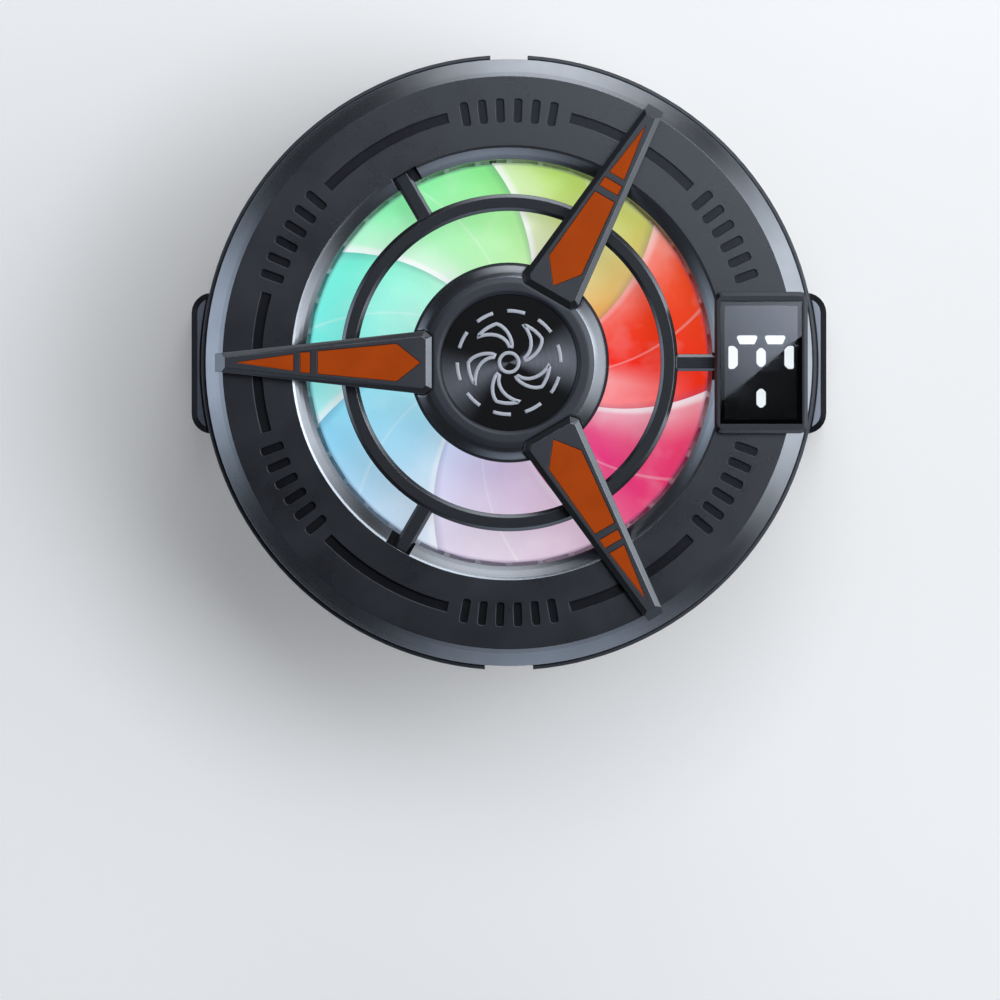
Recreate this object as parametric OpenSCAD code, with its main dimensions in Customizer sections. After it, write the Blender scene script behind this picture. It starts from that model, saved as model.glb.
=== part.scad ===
// Phone cooling fan
// Two sprung jaws hold a cold plate against the back of a phone. A thermoelectric module moves the
// heat into a finned heatsink, and a lit fan behind a guard blows it out at the sides.
// The part lies on its back: the contact pad's face is at z = 0 and the front looks along +Z.

/* [Stack, from the phone to the front] */
// Thickness of the soft contact pad
pad_t = 0.6; // [0.4:0.1:1.2]
// Thickness of the cold plate
plate_t = 1.4; // [1.2:0.1:2]
// Thickness of the thermoelectric module
tec_t = 3.6; // [3.5:0.1:4.4]
// Thickness of the heatsink's base
sink_base_t = 1.8; // [1.5:0.1:2.6]
// Height of the heatsink's fins
fin_h = 6.4; // [6:0.1:9]
// Gap between the fins and the blades
blade_gap = 0.6; // [0.4:0.1:1.2]
// Height of the fan blades
blade_h = 5.6; // [5.2:0.1:8]
// Gap between the blades and the guard
guard_gap = 0.8; // [0.5:0.1:1.5]
// Thickness of the guard
guard_t = 1.6; // [1.2:0.1:2]
// How far the guard lies below the ring face
guard_set = 0.8; // [0.5:0.1:1.4]

/* [Shells] */
// Outer diameter of the body
body_d = 72.6; // [72.4:0.1:80]
// Wall of the rear and middle shells
shell_wall = 1.8; // [1.5:0.1:2.2]
// Width of the shoulder round the front bezel
shoulder_w = 0.4; // [0.3:0.05:0.8]
// How far the shoulder lies below the ring face
shoulder_drop = 2.8; // [2.4:0.1:3]
// Width of the recess over the button
top_recess_w = 4.4; // [3:0.1:8]
// Width of the recess over the inlet
low_recess_w = 5.7; // [3:0.1:8]
// Width of the groove round the body
groove_w = 0.8; // [0.4:0.1:1.2]
// Depth of both recesses
recess_d = 0.6; // [0.3:0.1:0.9]
// Least flare of the body over its base
flare_w = 3; // [2.8:0.1:3.6]
// Number of exhaust slots
vent_count = 44; // [20:1:60]
// Width of an exhaust slot
vent_w = 1.8; // [1:0.1:2.4]

/* [Front bezel] */
// Width of the bevel
bevel_w = 2; // [1:0.1:2.4]
// Drop of the bevel
bevel_h = 1.4; // [0.8:0.05:1.8]
// Thickness of the ring face
face_t = 1.8; // [1.5:0.1:2.2]
// Height of the bezel's edge above its ledge
bezel_h = 3.6; // [3:0.1:4.2]
// Width of the ring face
face_w = 8.13; // [7:0.01:8.6]
// Width of the funnel from the face to the air duct
funnel_w = 1.65; // [1.2:0.05:2.2]
// Drop of the funnel
funnel_h = 1.1; // [0.8:0.1:1.6]
// Depth of the recessed marks
mark_depth = 0.7; // [0.3:0.1:1]
// Length of a tick
tick_l = 2.85; // [1.5:0.05:4]
// Width of a tick
tick_w = 1; // [0.5:0.05:1.2]
// Angle between ticks
tick_step = 4; // [3:0.1:4.5]
// Ticks in a group
tick_n = 6; // [2:1:6]
// Width of an arc mark
arc_w = 1.2; // [0.6:0.05:1.8]
// Half of the angle that an arc mark spans
arc_half = 16; // [8:0.5:16.5]

/* [Guard and hub] */
// Inner radius of the guard ring
guard_r = 17.9; // [16:0.1:19]
// Width of the guard ring
guard_w = 2; // [1.4:0.1:2.6]
// Width of the short spokes
spoke_w = 2; // [1.2:0.1:2.2]
// Width of the ribs below the needles
rib_w = 2.6; // [1.8:0.1:3.2]
// Diameter of the hub cap
hub_d = 23.6; // [22:0.1:25]
// Diameter of the hub cap's flat ring
hub_flat_d = 19; // [17.4:0.1:20.5]
// Height of the hub cap above the ring face
hub_rise = 1.6; // [1.2:0.1:1.9]
// Diameter of the badge
badge_d = 16; // [13:0.1:16.4]
// Thickness of the badge
badge_t = 0.8; // [0.5:0.1:1]
// How far the badge lies below the flat ring
badge_set = 0.3; // [0.1:0.05:0.5]

/* [Needles] */
// Radius at a needle's inner end
needle_r0 = 9.1; // [8.8:0.1:10]
// How far a needle's tip stays inside the bezel's edge
tip_set = 1.12; // [0.6:0.02:2]
// Width at the inner end
needle_w0 = 7.5; // [6.4:0.1:8]
// Width at the tip
needle_w1 = 2.1; // [1.6:0.1:2.6]
// Height of a needle above the ring face
needle_h = 2; // [1.9:0.1:2.6]
// Width of a needle's side chamfer
needle_chamfer = 0.7; // [0.3:0.05:0.75]
// Height of the needles' chamfer
needle_slope = 0.3; // [0.2:0.05:0.5]
// Length of the slanted facet at a needle's tip
facet_l = 1.2; // [0.8:0.1:1.6]
// Drop of the slanted facet at a needle's tip
facet_drop = 0.8; // [0.4:0.1:1.2]
// Thickness of the coloured inlays
inlay_t = 0.35; // [0.2:0.05:0.6]

/* [Display] */
// Width of the display frame
pod_w = 11; // [10.7:0.1:11.6]
// Length of the display frame
pod_l = 16.7; // [15.6:0.1:18]
// Height of the display frame above the ring face
pod_h = 2; // [1.9:0.1:2.6]
// Width of the window
window_w = 9.6; // [9.4:0.1:10]
// Length of the window
window_l = 14.4; // [13.6:0.1:14.8]
// Thickness of the window
window_t = 0.8; // [0.5:0.1:0.9]
// Width of a digit's segment
segment_w = 1.1; // [0.8:0.05:1.4]
// Distance between the digits' uprights
digit_w = 3.3; // [2.8:0.05:3.4]
// Length of an upright
digit_l = 2.7; // [2:0.05:2.9]

/* [Fan and motor] */
// Number of blades
blade_n = 7; // [5:1:7]
// Gap between the blades' tips and the air duct
tip_gap = 0.35; // [0.3:0.05:2]
// Diameter of the fan's hub
fan_hub_d = 21; // [20.8:0.1:22]
// Angle that a blade spans
blade_span = 57; // [48:0.5:58]
// How far a blade's tip leads its root, as an angle
blade_sweep = 21; // [10:0.5:26]
// Thickness of a blade at its middle
blade_t = 0.9; // [0.7:0.05:1.2]
// Diameter of the shaft
shaft_d = 1.5; // [1.2:0.1:2]
// Radial running clearance of the shaft
shaft_clear = 0.03; // [0.02:0.01:0.06]
// Outer diameter of the bearing tube
bearing_d = 4.4; // [4:0.1:4.8]
// Diameter of the stator
stator_d = 15.4; // [15:0.1:15.6]
// Height of the stator
stator_h = 4.6; // [3.6:0.1:5]

/* [Heat path] */
// Side of the thermoelectric module
tec_side = 25; // [23:0.5:25.5]
// Width of the foam gasket
foam_w = 1.5; // [1:0.1:1.7]
// Diameter of the cold plate
plate_d = 42; // [38:0.5:42.4]
// Diameter of the contact pad
pad_d = 40; // [36:0.5:41]
// Room between the heatsink and the rear shell's wall
sink_room = 4.5; // [4.2:0.1:5.5]
// Diameter of the module's leads
lead_d = 1.1; // [0.8:0.05:1.2]
// Number of fins
fin_n = 40; // [24:2:44]
// Thickness of a fin
fin_t = 0.7; // [0.5:0.05:0.85]

/* [Jaws] */
// Width of the phone between the jaws at rest
phone_w = 71.5; // [71:0.5:75]
// Depth of the space for the phone
phone_t = 8.3; // [7:0.1:11]
// Width of a jaw
jaw_w = 16.7; // [15.4:0.1:18]
// Thickness of a jaw's wall
jaw_wall = 1.35; // [1.2:0.05:2]
// Width of the step beside the body in the jaws' tops
jaw_step = 0.35; // [0.2:0.05:0.6]
// Thickness of a jaw's grip pad
grip_t = 0.5; // [0.4:0.05:0.8]
// How far the lip reaches under the phone
lip_reach = 1.4; // [0.8:0.1:2]
// Thickness of the lip
lip_t = 1.2; // [1:0.1:1.8]
// Width of the sliding tongue
tongue_w = 14; // [12:0.1:14.2]
// Thickness of the sliding tongue
tongue_t = 2; // [1.9:0.05:2.05]
// Sliding clearance of the tongue
slide_gap = 0.2; // [0.15:0.01:0.25]
// Inward travel of a jaw from rest
travel_in = 2; // [1:0.1:2.4]
// Diameter of the jaw springs
spring_d = 2.2; // [1.8:0.05:2.25]
// Wire diameter of the jaw springs
spring_wire = 0.32; // [0.25:0.01:0.36]
// Turns of a jaw spring
spring_turns = 7; // [5:1:8]

/* [Controls] */
// Width of the mode button
button_w = 3.6; // [3:0.1:3.8]
// Height of the mode button
button_h = 2; // [1.6:0.1:2.2]
// Width of the display's flexible lead
flex_w = 5; // [3:0.1:6]
// Thickness of the control board
board_t = 1.2; // [0.8:0.1:1.4]
// Width of the power inlet's shell
inlet_w = 8.94; // [8.8:0.02:9.2]
// Height of the power inlet's shell
inlet_h = 3.26; // [3.1:0.02:3.3]
// Depth of the power inlet
inlet_l = 7.2; // [6.4:0.1:7.4]
// Number of coloured lamps
lamp_n = 12; // [6:2:16]

/* [Fasteners] */
// Thread of the cover's screws
cover_screw_d = 1.6; // [1.4:0.1:1.8]
// Thread of the heatsink's screws
sink_screw_d = 1.6; // [1.4:0.1:1.8]
// Thread of the control board's screws
board_screw_d = 1.5; // [1.3:0.1:1.6]
// Thread of the motor's screws
motor_screw_d = 1.2; // [1:0.1:1.3]
// Height of a screw's head
head_h = 0.65; // [0.5:0.05:0.75]

/* [Hidden] */
$fn = 64;
// Gap between pieces that are bonded or screwed together
fit = 0.05;
// Overrun of a cut past the face it opens
over = 1;

// Heights of the stack
z_plate = pad_t;
z_base = z_plate + plate_t;
z_sink = z_base + tec_t;
z_fin = z_sink + sink_base_t;
z_fin_top = z_fin + fin_h;
z_board = z_fin_top + 0.2;
z_deck = z_board + board_t;
z_blade = z_fin_top + blade_gap;
z_blade_top = z_blade + blade_h;
z_guard = z_blade_top + guard_gap;
z_guard_top = z_guard + guard_t;
z_face = z_guard_top + guard_set;
z_ledge = z_face - bezel_h;
z_shoulder = z_face - shoulder_drop;
z_under = z_face - face_t;
z_duct = z_ledge - 1;

// Radii of the shells
body_r = body_d / 2;
inner_r = body_r - shell_wall;
seat_r = body_r - shoulder_w;
bezel_r = seat_r - 0.12;
face_r = bezel_r - bevel_w;
mouth_r = face_r - face_w;
throat_r = mouth_r - funnel_w;
duct_r = throat_r + 2.2;
mark_r = (face_r + mouth_r) / 2;
needle_r1 = bezel_r - tip_set;
pod_x = mark_r;

// The crowned bevel, from the edge up to the face, and the funnel's roll, from the face down to the duct
bevel_line = curve([bezel_r, z_face - bevel_h], [face_r + 0.51 * bevel_w, z_face - 0.37 * bevel_h],
    [face_r, z_face], 4);
funnel_line = curve([mouth_r, z_face], [mouth_r - 0.29 * funnel_w, z_face - 0.08 * funnel_h],
    [throat_r, z_face - funnel_h], 4);

// Jaws and the base that they slide in
pad_x = phone_w / 2;
wall_x = pad_x + grip_t;
jaw_x = wall_x + jaw_wall;
block_x = pad_x - 0.2;
base_r = min(block_x - travel_in - 0.25, body_r - flare_w);
sink_r = base_r - shell_wall - sink_room;
cover_r = base_r - 4.3;
sink_x = 11;
sink_y = plate_d / 2 - 2;
z_tongue = z_base + slide_gap;
z_tongue_top = z_tongue + tongue_t;
z_jaw_top = z_tongue_top + 0.6;
z_flare = z_jaw_top + 0.4;
z_split = z_flare + body_r - base_r;
foam_half = tec_side / 2 + foam_w;
channel_x = foam_half + 0.9;
tongue_x = channel_x + 0.4 + travel_in;
ear_t = 1.2;
pocket_half = tongue_w / 2 + 3.2;
pocket_x = sqrt(base_r * base_r - pocket_half * pocket_half) - 1.3;
spring_y = tongue_w / 2 + 1.65;
spring_z = z_tongue + tongue_t / 2;

// Fan and motor
fan_r = throat_r - tip_gap;
cup_r = fan_hub_d / 2;
cup_in = cup_r - 0.9;
z_cup = z_fin + 2.2;
z_cap = z_blade_top - 1.2;
z_bearing_top = z_cap - 1.8;
plate_h = 1.2;
z_motor = z_fin + plate_h;
z_stator = z_motor + 1.9;

// Depth of the heatsink screws' seats, and how far the board's screws reach into their posts
sink_seat = tec_t - 1.9;
board_bite = 3.6;

// Controls
z_port = z_deck + inlet_h / 2;
button_y = body_r - recess_d - 0.1;
board_r = inner_r - 0.5;
post_r = board_r - 3.2;

// Angles of the needles and of the short spokes
needle_angles = [60, 180, 300];
spoke_angles = [0, 120, 240];

module_dark = [0.15, 0.155, 0.175];
module_steel = [0.62, 0.63, 0.65];

// A solid skinned over a list of rings with the same even number of points.
// Each ring runs counterclockwise as seen from the last ring's side. The ends are closed in strips across
// each ring, so that a ring which bends round the axis keeps its bend.
module skin(rings) {
    n = len(rings[0]);
    last = len(rings) - 1;
    points = [for (ring = rings) for (p = ring) p];
    sides = [for (k = [0:last - 1]) for (i = [0:n - 1]) let (j = (i + 1) % n)
        for (f = [[k * n + i, k * n + n + i, k * n + n + j], [k * n + i, k * n + n + j, k * n + j]]) f];
    caps = [for (i = [0:n / 2 - 2]) for (f = [[i, i + 1, n - 2 - i, n - 1 - i],
        [last * n + n - 1 - i, last * n + n - 2 - i, last * n + i + 1, last * n + i]]) f];
    polyhedron(points = points, faces = concat(sides, caps));
}

// A ring of 2-D points at one height
function level(outline, z) = [for (p = outline) [p[0], p[1], z]];

// A rectangle with corners rounded in steps of some degrees, counterclockwise
function rounded(w, l, r, step = 30) = [for (c = [[1, -1, 270], [1, 1, 0], [-1, 1, 90], [-1, -1, 180]])
    for (a = [0:step:90]) [c[0] * (w / 2 - r) + r * cos(c[2] + a), c[1] * (l / 2 - r) + r * sin(c[2] + a)]];

// Points on a smooth line from p to q that sets out towards c
function curve(p, c, q, n) = [for (i = [0:n]) let (t = i / n, u = 1 - t) u * u * p + 2 * t * u * c + t * t * q];

// A tube of 8 sides that follows a path of points, each given with its direction
module wire(path, r) {
    skin([for (p = path) let (t = p[1], u = cross(t, [1, 0, 0]), v = cross(t, u))
        [for (a = [0:45:315]) p[0] + r * (cos(a) * u / norm(u) + sin(a) * v / norm(v))]]);
}

// A plate with rounded ends, lying along x, its depth along y from y0 to y1
module stadium(w, h, y0, y1) {
    for (s = [-1, 1])
        translate([s * (w - h) / 2, y1, 0]) rotate([90, 0, 0]) cylinder(d = h, h = y1 - y0);
    translate([-(w - h) / 2, y0, -h / 2]) cube([w - h, y1 - y0, h]);
}

// A pan-head screw with its head below and its shank along +z
module screw(head_d, head_h, d, l) {
    difference() {
        cylinder(d = head_d, h = head_h);
        translate([-head_d * 0.3, -0.15, -over]) cube([head_d * 0.6, 0.3, over + 0.3]);
        translate([-0.15, -head_d * 0.3, -over]) cube([0.3, head_d * 0.6, over + 0.3]);
    }
    translate([0, 0, head_h]) cylinder(d = d, h = l);
}

module cover_spots() { for (a = [45:90:315]) rotate(a) translate([cover_r, 0, 0]) rotate(-a) children(); }
module sink_spots() { for (x = [-sink_x, sink_x]) for (y = [-sink_y, sink_y]) translate([x, y, 0]) children(); }
module post_spots() { for (a = [45:90:315]) rotate(a) translate([post_r, 0, 0]) children(); }
module motor_spots() { for (a = [15:120:255]) rotate(a) translate([9, 0, 0]) children(); }

// Heat path

module thermal_pad() {
    color([0.42, 0.45, 0.5]) cylinder(d = pad_d, h = pad_t);
}

module cold_plate() {
    color(module_steel)
        rotate_extrude() polygon([[0, z_plate], [plate_d / 2 - 0.3, z_plate],
            [plate_d / 2, z_plate + 0.3], [plate_d / 2, z_base], [0, z_base]]);
}

// Two ceramic plates with the grid of pellets between them
module peltier_module() {
    plate = 0.8;
    step = (tec_side - 3) / 5;
    color([0.9, 0.9, 0.87]) {
        for (z = [z_base, z_sink - plate])
            translate([-tec_side / 2, -tec_side / 2, z]) cube([tec_side, tec_side, plate]);
        for (i = [0:5]) for (j = [0:5])
            translate([(i - 2.5) * step - 0.8, (j - 2.5) * step - 0.8, z_base + plate])
                cube([1.6, 1.6, tec_t - 2 * plate]);
    }
}

module foam_gasket() {
    color([0.12, 0.12, 0.12]) difference() {
        translate([-foam_half, -foam_half, z_base]) cube([2 * foam_half, 2 * foam_half, tec_t]);
        translate([-tec_side / 2 - fit, -tec_side / 2 - fit, z_base - over])
            cube([tec_side + 2 * fit, tec_side + 2 * fit, tec_t + 2 * over]);
        translate([-2, -foam_half - over, z_sink - 1.9]) cube([4, foam_w + 2 * over, over + 1.9]);
    }
}

// The module's two leads, out below the heatsink and up to the control board
module power_leads() {
    y0 = tec_side / 2 + 0.1;
    y1 = sink_r + sink_room / 2 - 0.15;
    z0 = z_sink - lead_d / 2 - 0.5;
    bend = 1.6 * lead_d;
    path = concat([[[0, -y0, z0], [0, -1, 0]]],
        [for (a = [0:22.5:90]) [[0, -y1 + bend - bend * sin(a), z0 + bend - bend * cos(a)],
            [0, -cos(a), sin(a)]]],
        [[[0, -y1, z_board - 0.05], [0, 0, 1]]]);
    color([0.55, 0.08, 0.06]) for (x = [-0.8, 0.8]) translate([x * lead_d, 0, 0]) wire(path, lead_d / 2);
}

module heatsink() {
    color([0.7, 0.71, 0.73]) difference() {
        union() {
            translate([0, 0, z_sink]) cylinder(r = sink_r, h = sink_base_t);
            for (i = [0:fin_n - 1]) rotate(i * 360 / fin_n)
                translate([13, -fin_t / 2, z_fin - 0.2]) cube([sink_r - 13.1, fin_t, fin_h + 0.2]);
        }
        sink_spots() translate([0, 0, z_sink - over]) cylinder(d = sink_screw_d + 0.1, h = over + sink_base_t - 0.4);
        motor_spots() translate([0, 0, z_fin - 1.2]) cylinder(d = motor_screw_d + 0.1, h = over + 1.2);
    }
}

// Shells

module rear_cover() {
    color(module_dark) difference() {
        rotate_extrude() polygon([[plate_d / 2 + 0.15, z_base - 1.1], [base_r - 0.9, z_base - 1.1],
            [base_r - 0.3, z_base - 0.5], [base_r - 0.3, z_base], [plate_d / 2 + 0.15, z_base]]);
        cover_spots() {
            translate([0, 0, z_base - over - 1.1]) cylinder(d = cover_screw_d + 0.2, h = 2 * over + 1.1);
            translate([0, 0, z_base - over - 1.1]) cylinder(d = 2 * cover_screw_d + 0.3, h = over + head_h + 0.1);
        }
    }
}

// The base that carries the jaws' channels, the module's window and the flare up to the body
module rear_shell() {
    lip_r = inner_r - 0.1;
    module channel() {
        translate([channel_x, -pocket_half, z_base - over])
            cube([pocket_x - channel_x, 2 * pocket_half, over + tongue_t + 2 * slide_gap]);
        translate([channel_x, -tongue_w / 2 - slide_gap, z_base - over])
            cube([body_r, tongue_w + 2 * slide_gap, over + tongue_t + 2 * slide_gap]);
    }
    color(module_dark) difference() {
        rotate_extrude() polygon([[0, z_base], [base_r, z_base], [base_r, z_flare], [body_r, z_split],
            [lip_r, z_split], [lip_r, z_split + 1.2], [lip_r - 0.7, z_split + 1.2], [lip_r - 0.7, z_split],
            [base_r - shell_wall, z_split - lip_r + 0.7 + base_r - shell_wall],
            [base_r - shell_wall, z_sink], [0, z_sink]]);
        channel();
        mirror([1, 0, 0]) channel();
        translate([-foam_half - fit, -foam_half - fit, z_base - over])
            cube([2 * foam_half + 2 * fit, 2 * foam_half + 2 * fit, tec_t + 2 * over]);
        translate([-2.1, -sink_r - 3.4, z_sink - 1.9])
            cube([4.2, sink_r + 3.4 - foam_half, over + 1.9]);
        cover_spots() translate([0, 0, z_base - over]) cylinder(d = cover_screw_d + 0.1, h = over + tec_t - 0.5);
        sink_spots() {
            translate([0, 0, z_base - over]) cylinder(d = sink_screw_d + 0.2, h = tec_t + 2 * over);
            translate([0, 0, z_base - over]) cylinder(d = 2 * sink_screw_d + 0.4, h = over + sink_seat);
        }
        recesses();
    }
}

// Recesses over the button and over the inlet, seen as notches in the outline from the front
module recesses() {
    for (s = [[1, top_recess_w], [-1, low_recess_w]])
        translate([-s[1] / 2, s[0] > 0 ? body_r - recess_d : -body_r + recess_d - over, z_flare])
            cube([s[1], over, z_face - z_flare]);
}

module mid_shell() {
    vent_z = z_split + 1.4;
    groove_z = z_shoulder - 1.2;
    ease = shoulder_w / 3;
    color(module_dark) difference() {
        rotate_extrude() polygon([[inner_r, z_split], [body_r, z_split], [body_r, groove_z - groove_w / 2],
            [body_r - groove_w / 2, groove_z], [body_r, groove_z + groove_w / 2], [body_r, z_shoulder - ease],
            [body_r - ease, z_shoulder], [seat_r, z_shoulder], [seat_r, z_ledge], [inner_r, z_ledge]]);
        for (i = [0:vent_count - 1]) rotate((i + 0.5) * 360 / vent_count)
            translate([inner_r - over, -vent_w / 2, vent_z])
                cube([shell_wall + 2 * over, vent_w, z_board - 0.3 - vent_z]);
        recesses();
        translate([0, 0, z_port]) {
            stadium(inlet_w + 0.3, inlet_h + 0.3, -body_r - over, -inner_r + 2);
            stadium(button_w + 0.3, button_h + 0.3, inner_r - 2, body_r + over);
        }
    }
}

// The plain solid below the bezel's outer faces, which the pieces on the face are fitted over
module bezel_form() {
    rotate_extrude() polygon(concat([[20, z_ledge], [bezel_r, z_ledge]], bevel_line, [[20, z_face]]));
}

module front_bezel() {
    skirt_r = inner_r - 0.1;
    color(module_dark) difference() {
        union() {
            rotate_extrude() polygon(concat([[bezel_r, z_ledge]], bevel_line, funnel_line,
                [[throat_r, z_duct], [duct_r, z_duct], [duct_r, z_under], [skirt_r - 1.4, z_under],
                [skirt_r - 0.8, z_under - 0.6], [skirt_r - 0.8, z_duct], [skirt_r, z_duct], [skirt_r, z_ledge]]));
            post_spots() translate([0, 0, z_deck]) cylinder(d = 3.8, h = z_under - z_deck + 0.2);
        }
        post_spots() translate([0, 0, z_deck - over]) cylinder(d = board_screw_d + 0.1, h = over + board_bite + 0.4);
        for (g = [30:60:330]) {
            for (i = [0:tick_n - 1]) rotate(g + (i - (tick_n - 1) / 2) * tick_step) tick();
            rotate(g + 30) arc_mark();
        }
        for (a = spoke_angles) rotate(a) spoke_pocket(spoke_w / 2 + 1, spoke_w / 2 + 0.15);
        for (a = needle_angles) rotate(a) spoke_pocket(rib_w / 2 + 0.1, rib_w / 2 + 0.1);
        translate([pod_x - 0.6, -flex_w / 2 - 0.4, z_under - over])
            cube([1.2, flex_w + 0.8, face_t + 2 * over]);
    }
}

// One radial tick with rounded corners
module tick() {
    translate([mark_r, 0, z_face - mark_depth]) linear_extrude(over + mark_depth)
        polygon(rounded(tick_l, tick_w, 0.35 * tick_w));
}

// One arc mark with square ends, centred on +x
module arc_mark() {
    rotate(-arc_half) rotate_extrude(angle = 2 * arc_half)
        translate([mark_r - arc_w / 2, z_face - mark_depth]) square([arc_w, over + mark_depth]);
}

// A seat in the funnel's wall for the end of a spoke, from below the face to above it
module spoke_pocket(cw, ccw) {
    translate([throat_r - 2, -cw, z_guard]) cube([mouth_r - throat_r + 1.95, cw + ccw, z_face - z_guard + over]);
}

// Guard, hub and needles

// A radial bar of the guard with chamfered upper edges, a little lower than the guard's ring
module guard_bar(r0, r1, w) {
    c = 0.25;
    side = 0.35;
    top = z_guard_top - 0.2;
    translate([r0, 0, 0]) rotate([90, 0, 90]) linear_extrude(r1 - r0)
        polygon([[-w / 2, z_guard + 0.1], [w / 2, z_guard + 0.1], [w / 2, top - c], [w / 2 - side, top],
            [-w / 2 + side, top], [-w / 2, top - c]]);
}

module fan_guard() {
    c = 0.3;
    side = 0.42;
    end_r = mouth_r - 0.15;
    out_r = guard_r + guard_w;
    color(module_dark) {
        rotate_extrude() polygon([[guard_r, z_guard], [out_r, z_guard], [out_r, z_guard_top - c],
            [out_r - side, z_guard_top], [guard_r + side, z_guard_top], [guard_r, z_guard_top - c]]);
        for (a = spoke_angles) rotate(a) guard_bar(guard_r + guard_w / 2, end_r, spoke_w);
        for (a = needle_angles) rotate(a) guard_bar(hub_d / 2 - 2, end_r, rib_w);
        translate([0, 0, z_guard]) cylinder(d = hub_d - 1.2, h = guard_t);
    }
}

// The hub cap: a crowned rim round a flat ring, a sunk seat for the badge and three seats for the needles
module hub_cap() {
    top = z_face + hub_rise;
    r = hub_d / 2;
    seat = badge_d / 2 + fit;
    crown = curve([r, z_face + 0.3], [r - 0.8, top - 0.25], [hub_flat_d / 2, top], 5);
    color(module_dark) difference() {
        rotate_extrude() polygon(concat([[0, z_guard_top], [r - 0.35, z_guard_top], [r, z_guard_top + 0.35]],
            crown, [[seat + 0.3, top], [seat, top - 0.2], [seat, top - badge_set - badge_t],
            [0, top - badge_set - badge_t]]));
        for (a = needle_angles) rotate(a)
            translate([0, 0, z_face]) linear_extrude(hub_rise + over) polygon(needle_outline(-fit));
    }
}

module hub_badge() {
    top = z_face + hub_rise - badge_set;
    color([0.03, 0.03, 0.035]) translate([0, 0, top - badge_t]) cylinder(d = badge_d, h = badge_t);
}

// Outline of a needle, drawn in by a given amount
function needle_outline(o) = [
    [needle_r0 + o, -needle_w0 / 2 + 0.7 + o / 2], [needle_r0 + 0.8 + o / 2, -needle_w0 / 2 + o],
    [needle_r1 - o / 2, -needle_w1 / 2 + o * 0.8], [needle_r1 - o / 2, needle_w1 / 2 - o * 0.8],
    [needle_r0 + 0.8 + o / 2, needle_w0 / 2 - o], [needle_r0 + o, needle_w0 / 2 - 0.7 - o / 2]];

// Half of a needle's width, drawn in by its chamfer, at a radius
function needle_half(r) = needle_w0 / 2 - needle_chamfer
    - (needle_w0 - needle_w1) / 2 * (r - needle_r0) / (needle_r1 - needle_r0);

// The three coloured fields on a needle: a long hexagon, a bar and a thin point, grown by a gap
module needle_fields(gap) {
    edge = 0.4;
    a = needle_r0 + 1.35;
    b = a + 2.8;
    c = guard_r + guard_w + 2.65;
    hb = needle_half(b) - edge + gap;
    hc = needle_half(c) - edge + gap + 0.1;
    polygon([[a - gap, 0], [b, -hb], [c + gap, -hc], [c + gap, hc], [b, hb]]);
    d = c + 0.9;
    e = d + 1.15;
    hd = needle_half(d) - edge + gap + 0.1;
    polygon([[d - gap, -hd], [e + gap, -hd + 0.06], [e + gap, hd - 0.06], [d - gap, hd]]);
    f = e + 0.8;
    hf = needle_half(f) - edge + gap + 0.06;
    polygon([[f - gap, -hf], [needle_r1 - 2.4 + gap, 0], [f - gap, hf]]);
}

module needle(a) {
    top = z_face + needle_h;
    color(module_dark) rotate(a) difference() {
        union() {
            skin([level(needle_outline(0), z_face), level(needle_outline(0), top - needle_slope),
                level(needle_outline(needle_chamfer), top)]);
            translate([face_r - 0.4, -needle_w1 / 2, z_face - bevel_h])
                cube([needle_r1 - face_r + 0.4, needle_w1, bevel_h + 0.2]);
        }
        bezel_form();
        translate([0, 0, top - inlay_t]) linear_extrude(inlay_t + over) needle_fields(fit);
        rotate([90, 0, 0]) linear_extrude(needle_w0, center = true)
            polygon([[needle_r1 - facet_l, top], [needle_r1, top - facet_drop], [needle_r1 + over, top - facet_drop],
                [needle_r1 + over, top + over], [needle_r1 - facet_l, top + over]]);
    }
}

module inlay(a) {
    color([0.66, 0.26, 0.04]) rotate(a)
        translate([0, 0, z_face + needle_h - inlay_t]) linear_extrude(inlay_t - 0.03) needle_fields(0);
}

// Display

module display_frame() {
    top = z_face + pod_h;
    color(module_dark) translate([pod_x, 0, 0]) difference() {
        union() {
            skin([level(rounded(pod_w, pod_l, 0.9), z_face), level(rounded(pod_w, pod_l, 0.9), top - 0.5),
                level(rounded(pod_w - 0.7, pod_l - 0.9, 0.7), top)]);
            translate([pod_w / 2 - 3, -pod_l / 2 + 0.9, z_face - bevel_h])
                cube([3, pod_l - 1.8, bevel_h + 0.5]);
        }
        translate([-pod_x, 0, 0]) bezel_form();
        translate([-window_w / 2 - fit, -window_l / 2 - fit, top - window_t - 0.1])
            cube([window_w + 2 * fit, window_l + 2 * fit, window_t + over]);
        translate([-window_w / 2 + 0.5, -window_l / 2 + 0.5, z_face - 0.01])
            cube([window_w - 1, window_l - 1, pod_h]);
    }
}

module display_window() {
    color([0.02, 0.02, 0.025]) translate([pod_x - window_w / 2, -window_l / 2, z_face + pod_h - 0.1 - window_t])
        cube([window_w, window_l, window_t]);
}

module display_module() {
    deck = z_face + pod_h - window_t - 0.3;
    color([0.05, 0.05, 0.055]) translate([pod_x - window_w / 2 + 0.6, -window_l / 2 + 0.6, z_face + 0.1])
        cube([window_w - 1.2, window_l - 1.2, deck - z_face - 0.1]);
}

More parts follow.
